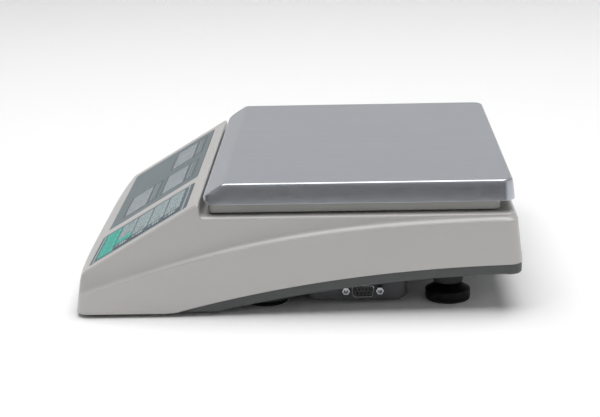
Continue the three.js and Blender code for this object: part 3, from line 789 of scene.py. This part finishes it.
def pan_shape():
    flare, sheet, radius = 1.6, 1.1, 2.0
    half, rear = PAN_HIGH.x - flare, PAN_HIGH.y - flare
    stations = sorted([y for y, _ in PAN_BEND if y > -57] + list(range(-44, 146, 10)))
    plan = half_plan(half, PAN_FRONT, rear, 9, stations)
    skirt = PAN_LOW.z

    def wall(inset, offset, height):
        return ring(plan, offset - inset, -inset, offset - inset, height)

    outer = [wall(0.25, flare, lambda y, ny: skirt), wall(0, flare, lambda y, ny: skirt + 0.3)]
    for share in (0.4, 0.8):
        outer.append(wall(0, flare * (1 - share) + 0.3 * share, lambda y, ny: (
            skirt + (pan_top(y) - radius - skirt) * share)))
    for t in steps(0, math.pi / 2, 7):
        inward, drop = radius * (1 - math.cos(t)), radius * (1 - math.sin(t))
        outer.append(wall(inward, 0, lambda y, ny: pan_top(y) - drop))
    inner = [wall(radius + 0.3, 0, lambda y, ny: pan_top(y) - sheet),
             wall(sheet, 0, lambda y, ny: pan_top(y) - radius),
             wall(sheet, flare, lambda y, ny: skirt + 0.3),
             wall(sheet - 0.25, flare, lambda y, ny: skirt)]
    return shell(outer, inner)


piece("pan_sheet", [(pan_shape(), STAINLESS)], "pan", ["weighing_pan"], angle=50)

carrier_top = height_along([(CARRIER_LOW.y, 85.1), (-49.5, 93.7), (-47.5, 94), (END, 94)])


def carrier_shape():
    half, y0, y1 = CARRIER_HIGH.x, CARRIER_LOW.y, CARRIER_HIGH.y
    low = CARRIER_LOW.z
    plan = half_plan(half, y0, y1, 5, [-56, -50.5, -49.5, -47.5] + list(range(-38, 138, 16)))

    def wall(inset, height):
        return ring(plan, -inset, -inset, -inset, height)

    outer = [wall(0.5, lambda y, ny: low), wall(0, lambda y, ny: low + 0.5)]
    for t in steps(0, math.pi / 2, 4):
        inward, drop = 1.5 * (1 - math.cos(t)), 1.5 * (1 - math.sin(t))
        outer.append(wall(inward, lambda y, ny: carrier_top(y) - drop))
    inner = [wall(WALL + 0.5, lambda y, ny: carrier_top(y) - WALL),
             wall(WALL, lambda y, ny: low + 0.5), wall(WALL - 0.4, lambda y, ny: low)]
    return shell(outer, inner)


viewing_hole = moved(peg(13, 70, 99, 48), at(*LEVEL))
hub_screw_holes = [moved(peg(1.8, 80, 99, 24), at(x, y)) for x in (-8, 8) for y in (-18, 2)]
piece("carrier_tray", [(carrier_shape(), CARRIER_PLASTIC)], "carrier",
      ["pan_carrier"], cutters=[viewing_hole, *hub_screw_holes])
ribs = [block(*HUB, CARRIER_LOW.z, 92.6, 2, 0.4)] + [
    block(-141.5, 141.5, y - 2, y + 2, CARRIER_LOW.z + 6, 92.2, 0.5, 0.3) for y in (-7, 50, 90)]
piece("carrier_ribs", [(rib, CARRIER_PLASTIC) for rib in ribs], "carrier",
      ["pan_carrier"])
pad_profile = smooth_profile([(0, 93), (9, 93), (9, 95.7, 0.8), (0, 95.7)], 4)
pads = [moved(lathe(pad_profile, 40), at(x, y)) for x in (-110, 110) for y in (-30, 118)]
piece("carrier_pads", [(pad, RUBBER) for pad in pads], "carrier", ["pan_carrier"])

# ---- display ----

def field_sheet(field):
    x0, x1, s0, s1, n0, n1 = field
    return moved(plate(rounded_rect(x0, x1, s0, s1, FIELD_RADIUS, 6), n0, n1, 0.15), on_panel)


def panel_block(x0, x1, s0, s1, n0, n1, radius=0.2, edge=0.02):
    return moved(block(x0, x1, s0, s1, n0, n1, radius, edge), on_panel)


def line_frame(x0, x1, s0, s1, width, n0, n1):
    """Four strips round a rectangle, as printed lines."""
    return [panel_block(x0, x1, s0, s0 + width, n0, n1), panel_block(x0, x1, s1 - width, s1, n0, n1),
            panel_block(x0, x0 + width, s0 + width, s1 - width, n0, n1),
            panel_block(x1 - width, x1, s0 + width, s1 - width, n0, n1)]


window = FIELDS["display_window"]
sheet_back, sheet_face = window[4], window[5]
INK = 0.04  # how far print stands above the sheet
LINE, LABEL_STRIP = 1.5, 8.4
MARKS, MARK_MARGIN, MARK_HIGH = 9, 4, 0.9
MARK_ROWS = ((3.0, 3.6), (5.6, 2.4))  # (height above the window, length)


def display_markings(field):
    """The outline round a window and its label strip, and two rows of plain marks."""
    x0, x1, s0, s1 = field[:4]
    n0, n1 = sheet_face - 0.02, sheet_face + INK
    outline = line_frame(x0 - LINE, x1 + LINE, s0 - LINE, s1 + LABEL_STRIP + LINE, LINE, n0, n1)
    outline.append(panel_block(x0, x1, s1, s1 + LINE, n0, n1))
    tint = panel_block(x0 + 0.2, x1 - 0.2, s1 + LINE + 0.4, s1 + LABEL_STRIP - 0.4, n0, n1)
    marks = []
    pitch = (x1 - x0 - 2 * MARK_MARGIN) / MARKS
    for i in range(MARKS):
        left = x0 + MARK_MARGIN + i * pitch
        for row, length in MARK_ROWS:
            marks.append(panel_block(left, left + length, s1 + row, s1 + row + MARK_HIGH,
                                     n1 - 0.01, n1 + 0.02))
    return ([(line, PRINT_DARK) for line in outline] + [(tint, PRINT_TINT)]
            + [(mark, PRINT_LIGHT) for mark in marks])


piece("display_sheet", [(field_sheet(window), PRINTED_SHEET)],
      nodes=["display_window"],
      cutters=[lcd_opening((f[0] + GAP, f[1] - GAP, f[2] + GAP, f[3] - GAP)) for f in LCDS.values()])
# The lenses carry the painted glare of the clear windows.
lenses = [panel_block(*field[:4], sheet_back, sheet_face, 0.15, 0.05) for field in LCDS.values()]
piece("display_lenses", [(lens, CLEAR_SHEET_PAINTED_GLARE) for lens in lenses],
      nodes=["display_window"])
piece("display_print", [mark for field in LCDS.values() for mark in display_markings(field)],
      nodes=["display_window"])

# (across, up, is it upright) of each segment, from the digit's centre, in halves of its size.
SEGMENTS = [(0, 1, 0), (0, -1, 0), (0, 0, 0), (-1, 0.5, 1), (-1, -0.5, 1), (1, 0.5, 1), (1, -0.5, 1)]
DIGITS, DIGIT_HIGH, DIGIT_MARGIN = 6, 12.5, 3


def digit_shapes(x, s, wide, high, n):
    """Seven unlit segments, as thin bars with pointed ends."""
    shapes = []
    bar = 0.13 * high
    for dx, ds, upright in SEGMENTS:
        cx, cs = x + dx * wide / 2, s + ds * high / 2
        half = (high / 4 if upright else wide / 2) - 0.12
        long = [(-half, 0), (-half + bar / 2, -bar / 2), (half - bar / 2, -bar / 2), (half, 0),
                (half - bar / 2, bar / 2), (-half + bar / 2, bar / 2)]
        points = [(cx - b, cs + a) if upright else (cx + a, cs + b) for a, b in long]
        segment = loft([[(px, ps, z) for px, ps in points] for z in (n, n + INK)])
        shapes.append(moved(segment, on_panel))
    return shapes


for name, (x0, x1, s0, s1, n0, n1) in LCDS.items():
    back = panel_block(x0, x1, s0, s1, n0, n1 - 0.4, 0.4, 0.15)
    face = panel_block(x0 + 0.4, x1 - 0.4, s0 + 0.4, s1 - 0.4, n1 - 0.4, n1 - 0.05, 0.3, 0.1)
    bars = []
    pitch = (x1 - x0 - 2 * DIGIT_MARGIN) / DIGITS
    for i in range(DIGITS):
        middle = x0 + DIGIT_MARGIN + (i + 0.5) * pitch
        bars += digit_shapes(middle, (s0 + s1) / 2, pitch * 0.55, DIGIT_HIGH, n1 - 0.06)
    piece(name + "_glass", [(back, LCD_FRAME), (face, LCD_FACE)] + [(bar, LCD_SEGMENT) for bar in bars],
          nodes=[name])

# ---- keypad ----

keypad = FIELDS["keypad_overlay"]
KEYS = {name: panel_extent(name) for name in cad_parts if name.startswith("key_row")}
key_holes = joined([
    moved(plate(rounded_rect(x0 - GAP, x1 + GAP, s0 - GAP, s1 + GAP, 1.0, 3), -4, 4, SHARP), on_panel)
    for x0, x1, s0, s1, _, _ in KEYS.values()])
piece("keypad_sheet", [(field_sheet(keypad), OVERLAY)], nodes=["keypad_overlay"],
      cutters=[key_holes])
border = line_frame(keypad[0] + 2, keypad[1] - 2, keypad[2] + 2.3, keypad[3] - 3.2, 1.1,
                    keypad[5] - 0.02, keypad[5] + 0.06)
piece("keypad_border", [(strip, PRINT_LIGHT) for strip in border],
      nodes=["keypad_overlay"])


PRINT = 0.03  # how far print stands above a key


def glyph(text, size, x, s, n):
    """A generic figure in the built-in font, standing a hair above the key."""
    curve = bpy.data.curves.new("glyph", "FONT")
    curve.body = text
    curve.size = size
    curve.extrude = PRINT / 2
    curve.align_x, curve.align_y = "CENTER", "CENTER"
    curve.resolution_u = 2
    holder = bpy.data.objects.new("glyph", curve)
    mesh = bpy.data.meshes.new_from_object(holder)
    shape = [tuple(v.co) for v in mesh.vertices], [tuple(p.vertices) for p in mesh.polygons]
    bpy.data.objects.remove(holder)
    bpy.data.meshes.remove(mesh)
    bpy.data.curves.remove(curve)
    return moved(shape, lambda gx, gy, gz: on_panel(x + gx, s + gy, n + PRINT / 2 + gz))


FIGURE_SIZE = 7.5
BAR_HALVES = (3.4, 2.6, 3.9)  # half the lengths of the bars printed on a key
FIGURES = {(2, 2): "0", (3, 1): "1", (3, 2): "2", (3, 3): "3", (4, 1): "4", (4, 2): "5",
           (4, 3): "6", (5, 1): "7", (5, 2): "8", (5, 3): "9"}


def key_finish(row, column):
    if row == 1 or (row, column) == (2, 4):
        return KEY_GREEN, LEGEND_GREEN, "key_green"
    if column == 5:
        return KEY_DARK, LEGEND_LIGHT, "key_dark"
    return KEY_GREY, LEGEND_DARK, "key_grey"


def legend(row, column, x, s, n):
    """What is printed on a key: a figure with a bar under it, or rows of bars."""
    def bar(wide, low, high):
        return panel_block(x - wide, x + wide, s + low, s + high, n, n + PRINT, 0.1, 0.01)

    shapes = []
    if (row, column) in FIGURES:
        shapes.append(glyph(FIGURES[(row, column)], FIGURE_SIZE, x, s + 0.8, n))
    else:
        for i in range(3):
            wide = BAR_HALVES[(i + row + column) % 3]
            shapes.append(bar(wide, 2.6 - 2 * i, 3.5 - 2 * i))
    shapes.append(bar(2, -4.6, -3.9))
    return shapes


for name, (x0, x1, s0, s1, n0, n1) in KEYS.items():
    row, column = int(name[7]), int(name[12])
    finish, ink, slot = key_finish(row, column)
    cap = moved(plate(rounded_rect(x0, x1, s0, s1, 1.1, 4), n0, n1, 0.35, 0.05, 4), on_panel)
    legends = legend(row, column, (x0 + x1) / 2, (s0 + s1) / 2, n1 - 0.01)
    piece(name + "_cap", [(cap, finish)] + [(mark, ink) for mark in legends], name, [name],
          angle=50)

# ---- serial port ----

SCREW_OFFSET = 12.5
PIN_PITCH, ROW_OFFSET = 2.77, 1.42


def d_outline(half_width, half_height, radius=1.7):
    lean = 2 * half_height * math.tan(math.radians(10))
    return rounded([(-half_width + lean, -half_height), (half_width - lean, -half_height),
                    (half_width, half_height), (-half_width, half_height)], radius, 5)


def port_place(x, y, z):
    """Places x along the compartment's right side, y up it and z out of it."""
    return (BAY_X1 + z, PORT_Y + x, PORT_Z + y)


def tube(outer, inner, z0, z1):
    """A wall between two outlines of equal length."""
    rings = [[(x, y, z) for x, y in line] for line, z in
             ((outer(0.1), z0), (outer(0), z0 + 0.1), (outer(0), z1 - 0.15), (outer(0.15), z1),
              (inner(-0.1), z1), (inner(0), z1 - 0.15), (inner(0), z0))]
    return loft(rings, around=True)


socket_holes = []
for count, height in ((5, ROW_OFFSET), (4, -ROW_OFFSET)):
    for i in range(count):
        socket_holes.append(moved(peg(0.62, -3, 1, 16),
                                  at((i - (count - 1) / 2) * PIN_PITCH, height, 6.3)))
flange = plate(rounded_rect(-15.4, 15.4, -6.2, 6.2, 1.5), 0.3, 1.2, 0.2)
flange_holes = [plate(d_outline(8.2, 4.1), -3, 5, SHARP)] + [
    moved(peg(1.8, -3, 5, 24), at(side * SCREW_OFFSET, 0)) for side in (-1, 1)]
piece("port_flange", [(moved(flange, port_place), DARK_STEEL)],
      nodes=["serial_port_shell"], cutters=[moved(hole, port_place) for hole in flange_holes])
port_wall = tube(d_outline(8.5, 4.4), d_outline(8.1, 4), 1.1, 6.8)
piece("port_shell", [(moved(port_wall, port_place), BRIGHT_STEEL)],
      nodes=["serial_port_shell"])
piece("port_insert", [(moved(plate(d_outline(7.9, 3.8, 1.4), -7, 6.3, 0.3), port_place), BLACK_PLASTIC)],
      nodes=["serial_port_insert"],
      cutters=[moved(hole, port_place) for hole in socket_holes])
for name, side in (("front", -1), ("rear", 1)):
    hexagon = rounded([(3.1 * math.cos(math.radians(a)), 3.1 * math.sin(math.radians(a)))
                       for a in range(0, 360, 60)], 0.35, 2)
    head = plate(hexagon, 1.6, 6.4, 0.35)
    shank = peg(1.4, 0.4, 2, 24)
    bore = peg(1.9, 2.4, 9, 32)
    head, shank, bore = [moved(moved(shape, at(side * SCREW_OFFSET, 0)), port_place)
                         for shape in (head, shank, bore)]
    piece("port_screw_" + name, [(head, BRIGHT_STEEL), (shank, BRIGHT_STEEL)],
          nodes=["jack_screw_" + name], cutters=[bore])

# ---- rear fittings ----

jack_place, switch_place = on_rear(JACK_X), on_rear(SWITCH_X)
jack_profile = smooth_profile([
    (4.8, -14), (4.8, 0.3), (6.5, 0.3, 0.1), (6.5, 1.8, 0.5), (3.2, 1.8, 0.3), (2.75, 1.2, 0.2),
    (2.75, -8), (0, -8), (0, -14)], 4)
piece("jack_barrel", [(moved(lathe(jack_profile, 48), jack_place), BLACK_PLASTIC)],
      nodes=["supply_jack"])
pin_profile = smooth_profile([(0, -8.2), (1, -8.2), (1, 0.5, 0.4), (0, 0.5)], 4)
piece("jack_pin", [(moved(lathe(pin_profile, 32), jack_place), BRIGHT_STEEL)],
      nodes=["supply_jack"])
bezel = plate(rounded_rect(-7.8, 7.8, -10.8, 10.8, 1.2), 0.3, 2.2, 0.5)
switch_box = plate(rounded_rect(-6.4, 6.4, -9.4, 9.4, 0.6), -16, 1, 0.3)
ROCKER_RADIUS = 7.2
well = moved(plate(rounded_rect(-4.7, 4.7, -7.6, 7.6, 0.5), -9.8, 9, SHARP), switch_place)
piece("switch_bezel", [(moved(bezel, switch_place), BLACK_PLASTIC)],
      nodes=["power_switch_body"], cutters=[well])
piece("switch_box", [(moved(switch_box, switch_place), BLACK_PLASTIC)],
      nodes=["power_switch_body"], cutters=[well])


def rocker_shape():
    """A rocker of two flats that meet over the pivot, made level and then tilted to rest."""
    low, high = extent("power_rocker")
    half = (high.x - low.x) / 2
    pivot, tilt = -3.2, math.radians(-8)
    rings = []
    for x, inset in ((-half, 0.4), (-half + 0.4, 0), (half - 0.4, 0), (half, 0.4)):
        shrink = 1 - inset / ROCKER_RADIUS
        rings.append([(x, *turn(u * shrink, v * shrink, tilt, pivot)) for u, v in rocker_outline()])
    return loft(rings)


def rocker_outline():
    """(up the wall, out of the wall) round the rocker, with a shallow valley between its flats."""
    top_end = [(ROCKER_RADIUS * math.cos(t), ROCKER_RADIUS * math.sin(t)) for t in steps(0.77, -0.7, 8)]
    bottom_end = [(-u, v) for u, v in reversed(top_end)]
    return top_end + bottom_end + [(-1.5, 3.1), (0, 2.9), (1.5, 3.1)]


def turn(up, out, tilt, pivot):
    c, s = math.cos(tilt), math.sin(tilt)
    return up * c - out * s, up * s + out * c + pivot


piece("rocker_cap", [(moved(rocker_shape(), switch_place), BLACK_PLASTIC)], "rocker",
      ["power_rocker"])

# ---- spirit level ----

vial_cup = smooth_profile([
    (0, 65), (8, 65, 0.5), (8, 73.8), (10, 73.8, 0.2), (10, 75, 0.5), (7.2, 75, 0.3), (6.8, 74, 0.2),
    (6.8, 70), (0, 70)], 3)
vial_fill = smooth_profile([(0, 70), (6.7, 70), (6.7, 74.1, 0.3), (4, 74.6), (0, 74.8)], 3)
vial_ring = [(1.9, 74.5), (2.3, 74.5), (2.3, 74.85), (1.9, 74.85)]
bubble = smooth_profile([(0, 74.5), (1.3, 74.5, 0.2), (1.3, 74.75, 0.3), (0, 74.95)], 3)
level_place = at(*LEVEL)
piece("level_vial", [
    (moved(lathe(vial_cup, 48), level_place), VIAL_BODY),
    (moved(lathe(vial_fill, 48), level_place), VIAL_LIQUID),
    (moved(lathe(vial_ring, 48), level_place), FOOT_PLASTIC),
    (moved(lathe(bubble, 32), level_place), VIAL_BUBBLE)], nodes=["spirit_level"])

# ---- carried-over CAD nodes ----

def break_edges(obj):
    """Welds a CAD node's triangles and rounds its sharp edges a little."""
    weld = obj.modifiers.new("weld", "WELD")
    weld.merge_threshold = 0.002 * MM
    bevel = obj.modifiers.new("edges", "BEVEL")
    bevel.width = 0.15 * MM
    bevel.segments = 2
    bevel.limit_method = "ANGLE"


KEPT = {
    "load_cell_spacer": ZINC, "load_cell_adaptor": ALUMINIUM,
    "overload_stop": ZINC, "chassis_plate": ZINC, "display_board": BOARD, "keypad_circuit": BOARD,
    "main_board": BOARD, "battery": BATTERY_CASE,
}
for name, finish in KEPT.items():
    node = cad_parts[name]
    for material_slot in node.material_slots:
        material_slot.material = finish
    break_edges(node)

# The load cell as a bar of its own: a copy of the CAD node with welded and rounded edges, drawn in its
# place. In the real scale its rear end stays on the spacer and its front end goes down with the carrier.
cell = new_object("load_cell_bar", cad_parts["load_cell"].data.copy())
cell.data.materials.clear()
cell.data.materials.append(ALUMINIUM)
break_edges(cell)
apply_modifiers(cell)
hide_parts("load_cell")
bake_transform(cell)

# ---- stage, lights and camera ----

def make_stage():
    """A round floor that curves up into a pale wall on every side."""
    flat, curve, high, sides = 2300, 900, 2600, 96
    profile = [(0, 0), (900, 0), (flat, 0)]
    profile += [(flat + curve * math.sin(t), curve - curve * math.cos(t))
                for t in steps(0, math.pi / 2, 12)[1:]]
    profile += [(flat + curve, high)]
    count = len(profile)
    verts, faces = [], []
    for j in range(sides):
        c, s = math.cos(2 * math.pi * j / sides), math.sin(2 * math.pi * j / sides)
        verts += [(r * c, r * s, z - 0.2) for r, z in profile]
        a, b = j * count, (j + 1) % sides * count
        faces += [(a + i, b + i, b + i + 1, a + i + 1) for i in range(count - 1)]
    floor = surface("stage_floor", (250, 250, 250), 0.8, grain=0.0, mottle=0.0)
    obj = new_object("stage_floor", make_mesh("stage_floor", [((verts, faces), floor)]))
    obj.data.shade_smooth()


def area_light(name, place, target, size, energy):
    light = bpy.data.lights.new(name, "AREA")
    light.shape = "RECTANGLE"
    light.size, light.size_y = size
    light.energy = energy
    obj = new_object(name, light)
    obj.location = place
    obj.rotation_euler = (Vector(target) - Vector(place)).to_track_quat("-Z", "Y").to_euler()
    obj.visible_camera = False


def dark_surround():
    """A dark board bent round the camera's side, on the floor and up, seen only in reflections.
    It gives the pan's sides their depth."""
    profile = [(520, 2), (2250, 2), (2280, 30), (2300, 520), (2320, 520), (2300, 0), (520, 0)]
    slices = []
    for angle in steps(-110, 50, 32):
        c, s = math.cos(math.radians(angle)), math.sin(math.radians(angle))
        slices.append([(r * c, r * s, z) for r, z in profile])
    finish = surface("stage_card", (52, 50, 48), 0.9)
    obj = new_object("stage_card", make_mesh("stage_card", [(loft(slices), finish)]))
    obj.visible_camera = obj.visible_diffuse = obj.visible_shadow = obj.visible_transmission = False


make_stage()
dark_surround()
area_light("overhead", (0, 0, 2.4), (0, 0, 0), (2.6, 2.6), 70)
world = bpy.data.worlds.new("world")
scene.world = world
world.use_nodes = True
set_inputs(world.node_tree.nodes["Background"], {"Color": (1, 1, 1, 1), "Strength": 0.05})
scene.view_settings.view_transform = "Standard"

camera_data = bpy.data.cameras.new("camera")
camera_data.lens = CAMERA_LENS
camera_data.sensor_width = CAMERA_SENSOR
camera = new_object("camera", camera_data)
axes = Matrix((CAMERA_RIGHT, CAMERA_UP, CAMERA_RIGHT.cross(CAMERA_UP))).transposed()
camera.matrix_world = Matrix.LocRotScale(CAMERA_PLACE, axes.to_quaternion(), None)
scene.camera = camera
